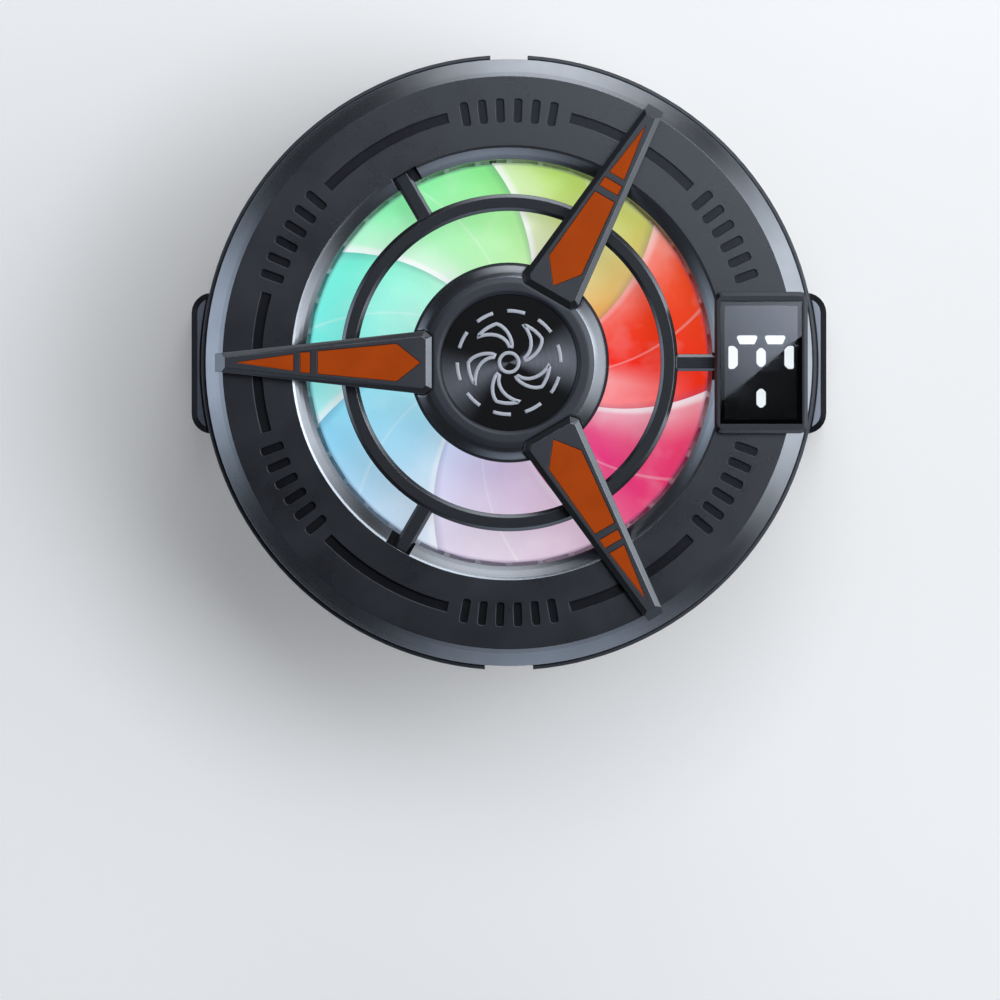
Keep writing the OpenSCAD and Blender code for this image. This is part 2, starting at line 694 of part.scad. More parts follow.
// Lit segments of the two digits: two caps, three uprights above and one below
module display_segments() {
    deck = z_face + pod_h - window_t - 0.3;
    w = segment_w;
    top = window_l / 2 - 4;
    // An upright with its corners cut by l on the left and by r on the right
    module bar(x, y0, y1, l, r) {
        polygon([[x - w / 2, y0 + l], [x - w / 2 + l, y0], [x + w / 2 - r, y0], [x + w / 2, y0 + r],
            [x + w / 2, y1 - r], [x + w / 2 - r, y1], [x - w / 2 + l, y1], [x - w / 2, y1 - l]]);
    }
    module cap(x) {
        half = digit_w / 2 - 0.42;
        polygon([[x - half, top - 0.25], [x - half + 0.2, top], [x + half - 0.2, top], [x + half, top - 0.25],
            [x + half - 0.36, top - 0.95 * w], [x - half + 0.36, top - 0.95 * w]]);
    }
    color([0.97, 0.98, 0.98]) translate([pod_x, 0, deck]) linear_extrude(0.15) {
        for (x = [-digit_w / 2, digit_w / 2]) cap(x);
        bar(-digit_w, top - 1.25 - digit_l, top - 1.25, 0.12 * w, 0.4 * w);
        bar(digit_w, top - 1.25 - digit_l, top - 1.25, 0.4 * w, 0.12 * w);
        for (y = [top - 1.5, top - 6.3]) bar(0, y + 0.5 - digit_l, y, 0.35 * w, 0.35 * w);
    }
}

module display_flex() {
    color([0.75, 0.45, 0.1])
        translate([pod_x - 0.15, -flex_w / 2, z_deck]) cube([0.3, flex_w, z_face + 0.08 - z_deck]);
}

// Electronics

module control_board() {
    color([0.05, 0.22, 0.12]) difference() {
        translate([0, 0, z_board]) cylinder(r = board_r, h = board_t);
        translate([0, 0, z_board - over]) cylinder(r = duct_r + 0.25, h = board_t + 2 * over);
        post_spots() translate([0, 0, z_board - over]) cylinder(d = board_screw_d + 0.3, h = board_t + 2 * over);
    }
}

module lamps() {
    color([0.95, 0.95, 0.9]) for (i = [0:lamp_n - 1]) rotate((i + 0.5) * 360 / lamp_n)
        translate([duct_r + 0.4, -1.4, z_deck]) cube([1.4, 2.8, 1]);
}

module light_ring() {
    z0 = z_board + 0.2;
    color([0.92, 0.94, 0.96]) rotate_extrude() polygon([[throat_r, z0 + 0.4], [throat_r + 0.4, z0],
        [duct_r, z0], [duct_r, z_duct], [throat_r, z_duct]]);
}

module inlet_shell() {
    mouth = -body_r + 0.75;
    color(module_steel) translate([0, 0, z_port]) difference() {
        stadium(inlet_w, inlet_h, mouth, mouth + inlet_l);
        stadium(inlet_w - 0.6, inlet_h - 0.6, mouth - over, mouth + inlet_l - 1);
    }
}

module inlet_tongue() {
    mouth = -body_r + 0.75;
    color([0.06, 0.06, 0.06]) translate([-3.35, mouth + 0.9, z_port - 0.35]) cube([6.7, inlet_l - 1.9, 0.7]);
}

module button_switch() {
    y1 = button_y - 2.9;
    color([0.2, 0.2, 0.2]) {
        translate([-2, y1 - 3, z_deck]) cube([4, 2.4, inlet_h]);
        translate([0, y1 - 0.02, z_port]) rotate([90, 0, 0]) cylinder(d = 1.5, h = 0.6);
    }
}

// The button's face, its stem through the wall and the flange that keeps it in
module mode_button() {
    back = button_y - 2.3;
    color([0.1, 0.1, 0.11]) translate([0, 0, z_port]) {
        stadium(button_w, button_h, back, button_y);
        translate([-button_w / 2 - 0.6, back, -1.5]) cube([button_w + 1.2, 0.9, 3]);
    }
}

// Motor

module motor_base() {
    color([0.1, 0.1, 0.1]) difference() {
        translate([0, 0, z_fin]) cylinder(r = cup_r + 0.2, h = plate_h);
        translate([0, 0, z_fin - over]) cylinder(d = bearing_d + 0.02, h = plate_h + 2 * over);
        motor_spots() translate([0, 0, z_fin - over]) cylinder(d = motor_screw_d + 0.3, h = plate_h + 2 * over);
    }
}

module motor_board() {
    color([0.05, 0.22, 0.12]) difference() {
        translate([0, 0, z_motor]) cylinder(d = stator_d - 0.6, h = 0.8);
        translate([0, 0, z_motor - over]) cylinder(d = bearing_d + 0.4, h = 0.8 + 2 * over);
        motor_spots() translate([0, 0, z_motor - over]) cylinder(d = 2 * motor_screw_d + 0.8, h = 0.8 + 2 * over);
    }
}

module bearing_tube() {
    color([0.72, 0.55, 0.25]) difference() {
        translate([0, 0, z_fin + 0.2]) cylinder(d = bearing_d, h = z_bearing_top - z_fin - 0.2);
        translate([0, 0, z_fin + 0.7]) cylinder(d = shaft_d + 2 * shaft_clear, h = z_bearing_top - z_fin + over);
    }
}

// Six poles with wide shoes on a common hub
module stator_core() {
    r = stator_d / 2;
    color([0.35, 0.36, 0.38]) translate([0, 0, z_stator]) difference() {
        union() {
            difference() {
                cylinder(r = r, h = stator_h);
                translate([0, 0, -over]) cylinder(r = r - 1.2, h = stator_h + 2 * over);
                for (a = [30:60:330]) rotate(a)
                    translate([0, -0.7, -over]) cube([r + over, 1.4, stator_h + 2 * over]);
            }
            for (a = [0:60:300]) rotate(a) translate([0, -0.8, 0]) cube([r - 0.6, 1.6, stator_h]);
            cylinder(r = bearing_d / 2 + 1.2, h = stator_h);
        }
        translate([0, 0, -over]) cylinder(d = bearing_d + 0.02, h = stator_h + 2 * over);
    }
}

module stator_windings() {
    r0 = bearing_d / 2 + 1.5;
    half = 1.6;
    r1 = sqrt(pow(stator_d / 2 - 1.2, 2) - half * half) - 0.1;
    color([0.72, 0.38, 0.16]) for (a = [0:60:300]) rotate(a) translate([0, 0, z_stator]) difference() {
        translate([r0, -half, -0.55]) cube([r1 - r0, 2 * half, stator_h + 1.1]);
        translate([r0 - over, -0.85, -fit]) cube([r1 - r0 + 2 * over, 1.7, stator_h + 2 * fit]);
    }
}

// A round lead between two fins and up to the control board
module fan_lead() {
    d = 0.7;
    bend = 0.8;
    y0 = 10.75;
    y1 = sink_r + 1.2 - d / 2;
    z0 = z_fin + 0.05 + d / 2;
    turn = [for (a = [0:30:90]) [[0, y1 - bend * (1 - sin(a)), z0 + bend * (1 - cos(a))], [0, cos(a), sin(a)]]];
    color([0.08, 0.08, 0.08]) rotate(180 / fin_n)
        wire(concat([[[0, y0, z0], [0, 1, 0]]], turn, [[[0, y1, z_board - 0.05], [0, 0, 1]]]), d / 2);
}

// Rotor

// Section of a blade at a share of its length: the under side forwards, then the upper side back.
// The blade is high at its leading edge and cambered, and it thins towards both edges.
function blade_ring(s) = let (r = cup_r - 0.45 + s * (fan_r - cup_r + 0.45), lead = 74 + blade_sweep * s,
    span = blade_span * (1 - 0.06 * s), steps = [0:0.2:1])
    concat([for (u = steps) blade_point(r, lead - span * (1 - u), blade_low(u, s))],
        [for (u = [1:-0.2:0]) blade_point(r, lead - span * (1 - u), blade_low(u, s) + blade_thick(u))]);
function blade_point(r, a, z) = [r * cos(a), r * sin(a), z];
function blade_thick(u) = blade_t * (0.35 + 2.6 * u * (1 - u));
function blade_low(u, s) = z_blade + (blade_h - blade_t * 0.35) * (pow(u, 1.25) * (1 - 0.08 * s) + 0.04 * s);

module impeller() {
    color([0.75, 0.9, 0.95]) difference() {
        union() {
            difference() {
                translate([0, 0, z_cup]) cylinder(r = cup_r, h = z_blade_top - z_cup);
                translate([0, 0, z_cup - over]) cylinder(r = cup_in, h = z_cap - z_cup + over);
            }
            translate([0, 0, z_bearing_top + 0.4]) cylinder(d = bearing_d, h = z_cap - z_bearing_top);
            for (i = [0:blade_n - 1]) rotate(i * 360 / blade_n)
                skin([for (s = [0:0.2:1]) blade_ring(s)]);
        }
        translate([0, 0, z_bearing_top - over]) cylinder(d = shaft_d, h = z_cap + 0.6 - z_bearing_top + over);
    }
}

module rotor_yoke() {
    color([0.5, 0.51, 0.53]) translate([0, 0, z_cup + 0.3]) difference() {
        cylinder(r = cup_in - 0.03, h = stator_h + 2);
        translate([0, 0, -over]) cylinder(r = cup_in - 0.45, h = stator_h + 2 + 2 * over);
    }
}

module rotor_magnet() {
    color([0.18, 0.18, 0.19]) translate([0, 0, z_cup + 0.5]) difference() {
        cylinder(r = cup_in - 0.48, h = stator_h + 1.4);
        translate([0, 0, -over]) cylinder(r = stator_d / 2 + 0.4, h = stator_h + 1.4 + 2 * over);
    }
}

module rotor_shaft() {
    color(module_steel) translate([0, 0, z_fin + 0.8]) cylinder(d = shaft_d, h = z_cap + 0.6 - z_fin - 0.8);
}

// Jaws

// The right jaw: a wall with a lip under the phone, a block beside the base and a tongue with two ears
module jaw() {
    r = 2.4;
    edge = 0.7;
    w = jaw_x - pad_x + 10;
    z_lip = -phone_t;
    z_low = z_lip - lip_t;
    ridges = [for (i = [0:2]) for (p = [[0, 0.3], [-0.3, 0], [0, -0.3]]) [jaw_x + p[0], p[1] - 1.5 - 1.6 * i]];
    color(module_dark) {
        difference() {
            intersection() {
                rotate([90, 0, 0]) linear_extrude(jaw_w + 2, center = true)
                    polygon(concat([[block_x, z_plate], [block_x, z_jaw_top], [jaw_x, z_jaw_top]], ridges,
                        [[jaw_x, z_low + 0.6], [jaw_x - 0.6, z_low], [pad_x - lip_reach + 0.5, z_low],
                        [pad_x - lip_reach, z_low + 0.5], [pad_x - lip_reach, z_lip], [wall_x, z_lip],
                        [wall_x, z_plate]]));
                translate([jaw_x - w / 2, 0, 0]) skin([level(rounded(w, jaw_w, r, 15), z_low - over),
                    level(rounded(w, jaw_w, r, 15), z_jaw_top - edge),
                    level(rounded(w - 4 * edge, jaw_w - 4 * edge, r - 2 * edge, 15), z_jaw_top + edge)]);
            }
            translate([0, 0, z_tongue_top])
                cylinder(r = body_r + jaw_step, h = z_jaw_top - z_tongue_top + over);
        }
        translate([tongue_x, -tongue_w / 2, z_tongue]) cube([block_x - tongue_x + 0.4, tongue_w, tongue_t]);
        translate([tongue_x, -pocket_half + 0.2, z_tongue]) cube([ear_t, 2 * pocket_half - 0.4, tongue_t]);
    }
}

// A soft pad with ribs along the phone's edge
module grip() {
    l = jaw_w - 2;
    z0 = -phone_t + 0.3;
    rows = floor((phone_t - 0.8) / 1.2);
    color([0.05, 0.05, 0.05]) {
        translate([pad_x + 0.2, -l / 2, z0]) cube([grip_t - 0.2, l, phone_t - 0.5]);
        for (i = [0:rows - 1]) translate([pad_x, -l / 2, z0 + 0.2 + i * 1.2]) cube([0.3, l, 0.7]);
    }
}

// A compression spring along x between the tongue's ear and the end of its pocket
module spring() {
    x0 = tongue_x + ear_t + spring_wire / 2 + 0.02;
    x1 = pocket_x - spring_wire / 2 - 0.02;
    r = (spring_d - spring_wire) / 2;
    lead = (x1 - x0) / (360 * spring_turns);
    rise = (x1 - x0) / spring_turns / (2 * PI * r);
    skin([for (a = [0:45:360 * spring_turns]) let (out = [0, cos(a), sin(a)],
        t = [rise, -sin(a), cos(a)] / norm([rise, 1]), side = cross(t, out))
        [for (b = [0:60:300]) [x0 + lead * a, r * cos(a), r * sin(a)]
            + spring_wire / 2 * (cos(b) * out + sin(b) * side)]]);
}

module springs() {
    color(module_steel) for (s = [-1, 1]) translate([0, s * spring_y, spring_z]) spring();
}

// Fasteners

module cover_screws() {
    color(module_steel) cover_spots()
        translate([0, 0, z_base - 1.05]) screw(2 * cover_screw_d + 0.1, head_h, cover_screw_d, tec_t - 0.4);
}

module heatsink_screws() {
    color(module_steel) sink_spots() translate([0, 0, z_base + sink_seat - 0.05 - 2 * head_h])
        screw(2 * sink_screw_d + 0.2, 2 * head_h, sink_screw_d, tec_t - sink_seat + sink_base_t - 0.7);
}

module board_screws() {
    color(module_steel) post_spots()
        translate([0, 0, z_board - head_h]) screw(2 * board_screw_d, head_h, board_screw_d, board_t + board_bite);
}

module motor_screws() {
    color(module_steel) motor_spots()
        translate([0, 0, z_motor + head_h]) mirror([0, 0, 1])
            screw(2 * motor_screw_d, head_h, motor_screw_d, plate_h + 0.9);
}

thermal_pad();
cold_plate();
peltier_module();
foam_gasket();
power_leads();
heatsink();
rear_cover();
rear_shell();
mid_shell();
front_bezel();
fan_guard();
hub_cap();
hub_badge();
needle(60);  // needle_upper
needle(180);  // needle_left
needle(300);  // needle_lower
inlay(60);  // inlay_upper
inlay(180);  // inlay_left
inlay(300);  // inlay_lower
display_frame();
display_window();
display_module();
display_segments();
display_flex();
control_board();
lamps();
light_ring();
inlet_shell();
inlet_tongue();
button_switch();
mode_button();
motor_base();
motor_board();
bearing_tube();
stator_core();
stator_windings();
fan_lead();
impeller();
rotor_yoke();
rotor_magnet();
rotor_shaft();
mirror([1, 0, 0]) jaw();  // left_jaw
mirror([1, 0, 0]) grip();  // left_grip
mirror([1, 0, 0]) springs();  // left_springs
jaw();  // right_jaw
grip();  // right_grip
springs();  // right_springs
cover_screws();
heatsink_screws();
board_screws();
motor_screws();
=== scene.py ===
import math
from collections import namedtuple
import bpy
import bmesh
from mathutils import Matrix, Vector


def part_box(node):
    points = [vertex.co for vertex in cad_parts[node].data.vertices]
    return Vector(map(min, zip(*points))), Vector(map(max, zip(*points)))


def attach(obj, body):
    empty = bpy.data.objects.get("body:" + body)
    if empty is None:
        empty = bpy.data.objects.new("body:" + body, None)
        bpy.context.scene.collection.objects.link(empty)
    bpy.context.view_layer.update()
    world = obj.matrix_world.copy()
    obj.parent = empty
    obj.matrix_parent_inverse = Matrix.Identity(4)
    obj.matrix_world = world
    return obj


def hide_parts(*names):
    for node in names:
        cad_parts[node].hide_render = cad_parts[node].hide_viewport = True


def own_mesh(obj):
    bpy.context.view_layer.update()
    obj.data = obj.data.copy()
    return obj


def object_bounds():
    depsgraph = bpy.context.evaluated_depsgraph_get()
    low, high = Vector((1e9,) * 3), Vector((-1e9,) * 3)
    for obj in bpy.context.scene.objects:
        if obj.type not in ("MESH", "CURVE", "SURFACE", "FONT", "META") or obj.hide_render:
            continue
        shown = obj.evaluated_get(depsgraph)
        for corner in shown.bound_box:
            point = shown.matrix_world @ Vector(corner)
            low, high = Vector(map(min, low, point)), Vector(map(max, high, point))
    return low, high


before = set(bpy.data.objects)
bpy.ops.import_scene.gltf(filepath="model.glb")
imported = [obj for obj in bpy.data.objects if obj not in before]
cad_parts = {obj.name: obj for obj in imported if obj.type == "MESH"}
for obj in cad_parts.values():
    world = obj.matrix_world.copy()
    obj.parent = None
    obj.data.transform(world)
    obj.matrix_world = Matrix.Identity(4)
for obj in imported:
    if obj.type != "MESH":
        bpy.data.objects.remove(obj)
cad_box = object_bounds()

# Sizes, in metres

MM = 0.001
FLOOR_Z = cad_box[0][2]
FACE_Z = 23.2 * MM
JAW_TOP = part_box("left_jaw")[1][2]
FAN_ROOT = 10.05 * MM
FAN_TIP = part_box("impeller")[1][0]

# The fan's blades: how many, the direction of a leading edge at the root and its sweep to the tip, in degrees, and
# how far a blade holds the colour of its middle, from 0 to 1

BLADES = 7
BLADE_LEAD = 74
BLADE_SWEEP = 21
BLADE_HOLD = 0.55


# Colours and node trees

BLACK = (0, 0, 0, 1)
WHITE = (1, 1, 1, 1)


def linear(red, green, blue):
    """The linear colour for screen values of 0 to 255."""
    def one(value):
        value /= 255
        return value / 12.92 if value <= 0.04045 else ((value + 0.055) / 1.055) ** 2.4
    return (one(red), one(green), one(blue), 1.0)


def scaled(colour, factor, limit=1.0):
    """A linear colour made lighter or darker."""
    return tuple(min(limit, c * factor) for c in colour[:3]) + (1.0,)


class Tree:
    """A node tree under construction."""

    def __init__(self, owner):
        owner.use_nodes = True
        self.tree = owner.node_tree
        self.place = self.node("ShaderNodeTexCoord").outputs
        self.geometry = self.node("ShaderNodeNewGeometry").outputs

    def put(self, node, sockets):
        """Sets or links the inputs of a node, by number, or by name with _ for a blank."""
        for key, value in sockets.items():
            socket = node.inputs[key.replace("_", " ") if isinstance(key, str) else key]
            if isinstance(value, bpy.types.NodeSocket):
                self.tree.links.new(value, socket)
            else:
                socket.default_value = value

    def node(self, kind, sockets=None, **settings):
        """Adds a node, with its settings and its inputs."""
        made = self.tree.nodes.new(kind)
        for key, value in settings.items():
            setattr(made, key, value)
        self.put(made, sockets or {})
        return made

    def math(self, operation, *values):
        return self.node("ShaderNodeMath", dict(enumerate(values)), operation=operation).outputs[0]

    def times(self, one, other):
        return self.math("MULTIPLY", one, other)

    def plus(self, one, other):
        return self.math("ADD", one, other)

    def between(self, value, low, high, to_low=0.0, to_high=1.0, smooth=False):
        """Maps a value from one range to another, held at its ends."""
        made = self.node("ShaderNodeMapRange", {0: value, 1: low, 2: high, 3: to_low, 4: to_high})
        made.interpolation_type = "SMOOTHSTEP" if smooth else "LINEAR"
        return made.outputs[0]

    def vary(self, noise, low=0.0, high=1.0, width=0.2):
        """Maps a noise to a range by its middle, where most of it lies; width is to each side of 0.5."""
        return self.between(noise, 0.5 - width, 0.5 + width, low, high)

    def blend(self, factor, one, other):
        """A number between two numbers."""
        return self.node("ShaderNodeMix", {0: factor, 2: one, 3: other}).outputs[0]

    def mix(self, factor, one, other, way="MIX"):
        """A colour between two colours."""
        made = self.node("ShaderNodeMix", {0: factor, 6: one, 7: other}, data_type="RGBA", blend_type=way)
        return made.outputs[2]

    def ramp(self, factor, stops):
        """A colour from a list of positions and colours."""
        made = self.node("ShaderNodeValToRGB", {0: factor})
        elements = made.color_ramp.elements
        while len(elements) < len(stops):
            elements.new(1.0)
        for element, (position, colour) in zip(elements, stops):
            element.position = position
            element.color = colour
        return made.outputs[0]

    def parts(self, vector):
        """The X, Y and Z of a vector."""
        return self.node("ShaderNodeSeparateXYZ", {0: vector}).outputs

    def along(self, axis):
        """One of the object coordinates."""
        return self.parts(self.place["Object"])[axis]

    def noise(self, scale, detail=2.0, stretch=None):
        """Noise in object coordinates, which may be stretched along the axes."""
        where = self.place["Object"]
        if stretch:
            where = self.node("ShaderNodeMapping", {"Vector": where, "Scale": stretch}).outputs[0]
        return self.node("ShaderNodeTexNoise", {"Vector": where, "Scale": scale, "Detail": detail}).outputs["Fac"]

    def cells(self, scale):
        """The distance from the middles of cells in object coordinates."""
        made = self.node("ShaderNodeTexVoronoi", {"Vector": self.place["Object"], "Scale": scale})
        return made.outputs["Distance"]

    def bump(self, height, strength, distance, normal=None):
        """A normal bent by a height, from the surface's own normal or another."""
        sockets = {"Height": height, "Strength": strength, "Distance": distance}
        if normal:
            sockets["Normal"] = normal
        return self.node("ShaderNodeBump", sockets).outputs[0]

    def around(self, where):
        """The direction about the fan's axis, 0 to 1 from +X, and the distance from the axis."""
        x, y = self.parts(where)[:2]
        turn = self.math("WRAP", self.math("DIVIDE", self.math("ARCTAN2", y, x), 2 * math.pi), 1.0, 0.0)
        reach = self.math("SQRT", self.plus(self.times(x, x), self.times(y, y)))
        return turn, reach

    def away(self, turn, degrees):
        """How far a direction is from another to either side, in turns."""
        off = self.math("SUBTRACT", turn, degrees / 360)
        return self.math("ABSOLUTE", self.math("WRAP", off, 0.5, -0.5))


class Finish(Tree):
    """A procedural material under construction, around one Principled shader."""

    def __init__(self, name, **sockets):
        self.material = bpy.data.materials.new(name)
        super().__init__(self.material)
        self.shader = self.tree.nodes["Principled BSDF"]
        self.shade(**sockets)

    def shade(self, **sockets):
        """Sets or links inputs of the shader."""
        self.put(self.shader, sockets)

    def edges(self, radius, samples=6):
        """Rounded shading along edges: its normal, and a mask of 1 on the edges."""
        rounded = self.node("ShaderNodeBevel", {"Radius": radius}, samples=samples).outputs[0]
        likeness = self.node("ShaderNodeVectorMath", {0: rounded, 1: self.geometry["Normal"]},
                             operation="DOT_PRODUCT").outputs["Value"]
        return rounded, self.between(likeness, 0.997, 0.88)

    def level(self):
        """A mask of 1 on level faces that look up."""
        return self.between(self.parts(self.place["Normal"])["Z"], 0.97, 0.99)

    def slope(self, steepest):
        """A mask of 1 on chamfers and cones, and 0 on level faces and where the normal's Z is below a limit."""
        up = self.parts(self.place["Normal"])["Z"]
        return self.times(self.between(up, steepest - 0.03, steepest), self.between(up, 0.975, 0.965))


# Materials; the numbers in noise() are its scale and detail

def moulded(name, colour, rough, gloss=0.5, grain=0.25, edge_light=2.2, edge_radius=0.15 * MM, samples=6,
            trim=None, trim_metal=0.95, trim_rough=0.22, trim_from=0.0, steep=0.5,
            ledge=None, ledge_z=-1.0, sunk=None):
    """Moulded plastic with a fine spark-eroded grain and lighter edges, partly rubbed wear and partly a painted
    highlight.

    Where they are given, trim is the colour of smooth cut chamfers, up to a steepest slope and out of a distance
    from the axis; ledge is a painted highlight, a lighter colour on level faces above a height, where they catch
    the light; sunk is that of the marks' floors, below the ring face.
    """
    m = Finish(name, Specular_Tint=(0.84, 0.9, 1.0, 1), Specular_IOR_Level=gloss)
    mottle = m.noise(160, 4.0)
    grit = m.noise(7000, 2.0)
    rounded, edge = m.edges(edge_radius, samples)
    level = m.level()
    height = m.along("Z")
    body = m.mix(m.vary(mottle), scaled(colour, 0.9), scaled(colour, 1.1))
    # Lighter edges: partly rubbed wear, partly a painted highlight where the edges catch the light
    wear_and_highlight = m.times(edge, m.between(m.noise(900, 3.0), 0.3, 0.65, 0.55, 1.0))
    body = m.mix(wear_and_highlight, body, scaled(colour, edge_light))
    roughness = m.vary(mottle, rough - 0.05, rough + 0.05, 0.25)
    # Painted highlight: level faces that look up are made lighter, standing in for the light they catch
    if ledge:
        body = m.mix(m.times(level, m.math("GREATER_THAN", height, ledge_z)), body, ledge)
    shine = 0.0
    if sunk:
        shine = m.times(level, m.between(height, FACE_Z - 0.1 * MM, FACE_Z - 0.2 * MM))
        body = m.mix(shine, body, sunk)
    if trim:
        _, reach = m.around(m.place["Object"])
        cut = m.times(m.slope(steep), m.math("GREATER_THAN", reach, trim_from))
        polished = m.mix(m.vary(m.noise(300, 3.0)), scaled(trim, 0.94), scaled(trim, 1.06))
        body = m.mix(cut, body, polished)
        roughness = m.blend(cut, roughness, trim_rough)
        grain = m.blend(cut, grain, 0.0)
        m.shade(Metallic=m.math("MULTIPLY_ADD", cut, trim_metal, shine))
    m.shade(Base_Color=body, Roughness=roughness, Normal=m.bump(grit, grain, 0.012 * MM, rounded))
    return m.material


def metal(name, colour, rough, scale=2500, stretch=(1, 1, 1), strength=0.15):
    """Bare metal with drawn or turned streaks, and small changes of tone."""
    m = Finish(name, Metallic=1.0)
    streak = m.noise(scale, 4.0, stretch)
    tone = m.noise(120, 3.0)
    rounded, edge = m.edges(0.08 * MM)
    body = m.mix(m.vary(tone), scaled(colour, 0.85), scaled(colour, 1.08))
    body = m.mix(m.times(edge, 0.5), body, scaled(colour, 1.3))
    m.shade(Base_Color=body, Roughness=m.vary(streak, rough - 0.06, rough + 0.08, 0.25),
            Normal=m.bump(streak, strength, 0.01 * MM, rounded))
    return m.material


def soft(name, colour, rough, scale, depth, strength=0.5):
    """Rubber, silicone or foam: matt, with a pored or ground skin and a pale bloom."""
    m = Finish(name, Specular_IOR_Level=0.35)
    bloom = m.noise(260, 4.0)
    body = m.mix(m.between(bloom, 0.35, 0.75), colour, scaled(colour, 1.6))
    m.shade(Base_Color=body, Roughness=m.vary(bloom, rough - 0.06, rough + 0.06),
            Normal=m.bump(m.cells(scale), strength, depth))
    return m.material


def circuit(name):
    """A board: dark solder mask over faint tracks, with rows of bright pads."""
    m = Finish(name, Roughness=0.34)
    tracks = m.node("ShaderNodeTexBrick", {"Vector": m.place["Object"], "Scale": 420.0, "Mortar Size": 0.012,
                                           "Color1": BLACK, "Color2": BLACK, "Mortar": WHITE})
    line = m.node("ShaderNodeRGBToBW", {0: tracks.outputs["Color"]}).outputs[0]
    pad = m.between(m.cells(330.0), 0.12, 0.09)
    mask = m.mix(line, linear(10, 62, 36), linear(24, 92, 52))
    m.shade(Base_Color=m.mix(pad, mask, linear(205, 200, 190)), Metallic=pad,
            Normal=m.bump(m.plus(line, pad), 0.3, 0.03 * MM))
    return m.material


def striped(name, colour, rough, axis, pitch):
    """Metal laminations or turns of wire: fine grooves across one axis."""
    m = Finish(name, Metallic=1.0)
    wave = m.math("PINGPONG", m.math("DIVIDE", m.along(axis), pitch), 0.5)
    crest = m.between(wave, 0.0, 0.5, smooth=True)
    tone = m.noise(400, 3.0)
    body = m.mix(crest, scaled(colour, 0.55), colour)
    body = m.mix(m.between(tone, 0.4, 0.8, to_high=0.35), body, scaled(colour, 0.7))
    m.shade(Base_Color=body, Roughness=m.vary(tone, rough - 0.07, rough + 0.07, 0.3),
            Normal=m.bump(crest, 0.6, pitch * 0.4))
    return m.material


# The lamps' colours, by the direction they light, in degrees from +X
RAINBOW = [
    (0, (240, 35, 20)), (25, (235, 80, 35)), (45, (215, 185, 105)), (70, (185, 220, 110)),
    (105, (145, 235, 140)), (150, (120, 240, 210)), (185, (110, 230, 235)), (210, (130, 210, 240)),
    (240, (190, 205, 235)), (280, (215, 170, 205)), (315, (230, 55, 125)), (345, (230, 65, 80)),
    (360, (240, 35, 20))]

# How far the light is thinned to white, near the hub and near the rim, by the same direction
PALE = [
    (0, 0.0, 0.0), (30, 0.0, 0.0), (60, 0.3, 0.0), (130, 0.4, 0.0), (205, 0.3, 0.05), (265, 0.0, 0.5),
    (315, 0.0, 0.0), (350, 0.4, 0.0), (360, 0.0, 0.0)]


def rainbow(m, shift=0.0):
    """The lamps' colour where a point stands; it stays in place while the fan turns."""
    turn, _ = m.around(m.geometry["Position"])
    turn = m.math("WRAP", m.plus(turn, shift), 1.0, 0.0)
    return m.ramp(turn, [(angle / 360, linear(*colour)) for angle, colour in RAINBOW])


def lit_fan():
    """Clear blades with a painted glow: emission in the lamps' colours stands in for the light they carry from the
    rim, with a painted white highlight towards each leading edge.
    """
    m = Finish("fan_clear_lit", Roughness=0.24, Specular_IOR_Level=0.15, Emission_Strength=0.79)
    stand, _ = m.around(m.geometry["Position"])
    pale = m.ramp(stand, [(angle / 360, (inside, outside, 0, 1)) for angle, inside, outside in PALE])
    pale_in, pale_out = m.node("ShaderNodeSeparateColor", {0: pale}).outputs[:2]

    # How far out a point is, from root to tip, and how far across its blade, with 1 at the leading edge
    turn, reach = m.around(m.place["Object"])
    out = m.between(reach, FAN_ROOT, FAN_TIP)
    lead = m.math("MULTIPLY_ADD", out, BLADE_SWEEP * BLADES / 360, BLADE_LEAD * BLADES / 360)
    across = m.math("FRACT", m.plus(m.math("SUBTRACT", m.times(turn, BLADES), lead), BLADES + 1))
    colour = rainbow(m, m.times(m.math("SUBTRACT", 0.5, across), BLADE_HOLD / BLADES))

    # What whitens the painted glow: a painted haze and a bright painted line at the leading edge, a painted line
    # along a crease, the hub's and rim's zones, and streaks
    streak = m.noise(260, 2.0, (1, 1, 0.2))
    painted_lead_haze = m.between(across, 0.66, 0.97, to_high=0.34, smooth=True)
    line = m.between(across, 0.93, 0.98, to_high=0.5, smooth=True)
    white = m.times(m.plus(painted_lead_haze, line), m.math("MULTIPLY_ADD", pale_in, 1.5, 0.32))
    for more in (m.times(m.math("COMPARE", across, 0.46, 0.01), 0.16),
                 m.times(pale_in, m.between(out, 0.9, 0.05)),
                 m.times(pale_out, m.between(out, 0.25, 0.8)),
                 m.between(streak, 0.5, 0.7, to_high=0.08)):
        white = m.plus(white, more)
    glow = m.mix(m.math("MINIMUM", white, 0.9), colour, linear(240, 240, 243))

    # What darkens the painted glow: a painted shadow behind the next blade's edge, and a darker band at the rim
    glow = m.mix(m.between(across, 0.06, 0.0, to_high=0.3), glow, linear(70, 90, 130))
    glow = m.mix(m.between(out, 0.97, 0.995, to_high=0.5), glow, linear(45, 50, 105))
    # The blades' glow is painted: the emission, and a share of it in the base colour, stands in for the lamps'
    # light
    m.shade(Base_Color=m.mix(0.65, glow, (0.02, 0.02, 0.02, 1)), Emission_Color=glow,
            Normal=m.bump(streak, 0.08, 0.05 * MM))
    return m.material


def lit(name, strength, frost, body):
    """Milky plastic carrying the lamps' light."""
    m = Finish(name, Roughness=0.45, Emission_Strength=strength)
    cloud = m.noise(900, 3.0)
    glow = m.mix(m.between(cloud, 0.3, 0.8, to_high=frost), rainbow(m), linear(245, 246, 250))
    m.shade(Base_Color=m.mix(0.7, glow, body), Emission_Color=glow, Normal=m.bump(cloud, 0.15, 0.02 * MM))
    return m.material


